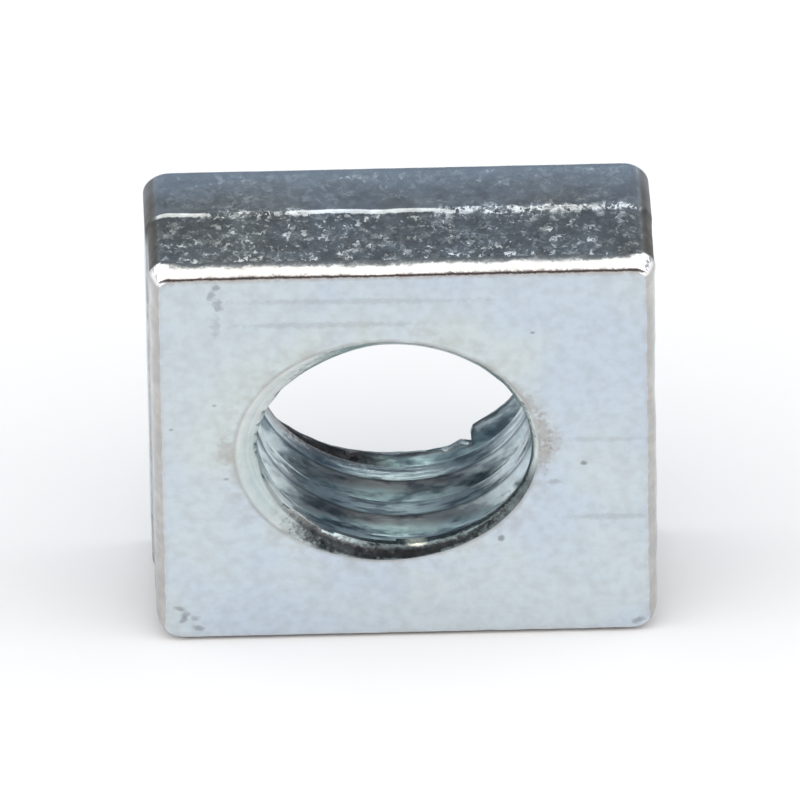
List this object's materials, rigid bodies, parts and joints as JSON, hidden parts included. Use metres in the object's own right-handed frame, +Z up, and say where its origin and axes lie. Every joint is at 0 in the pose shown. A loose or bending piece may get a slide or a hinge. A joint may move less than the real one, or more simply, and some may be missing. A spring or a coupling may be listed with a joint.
{
  "type": "square nut",
  "caption": "Thin square nut of zinc-plated steel with a right-hand M8 thread, for a screw in a channel, slot or clamp where the flats stop it turning.",
  "frame": {"origin": "middle of the flat side that the nut stands on, half way through its thickness", "axes": "+Z up through the opposite flat side, +Y along the bore from the countersunk front face to the back face, +X to the right as seen from the front"},
  "size_m": [0.0128, 0.0038, 0.0128],
  "materials": {
    "zinc_plated_steel": "matte zinc plating with a faint blue and green tint, rougher on the sheared sides"
  },
  "bodies": {
    "root": {"square_nut": "zinc_plated_steel"}
  },
  "joints": []
}
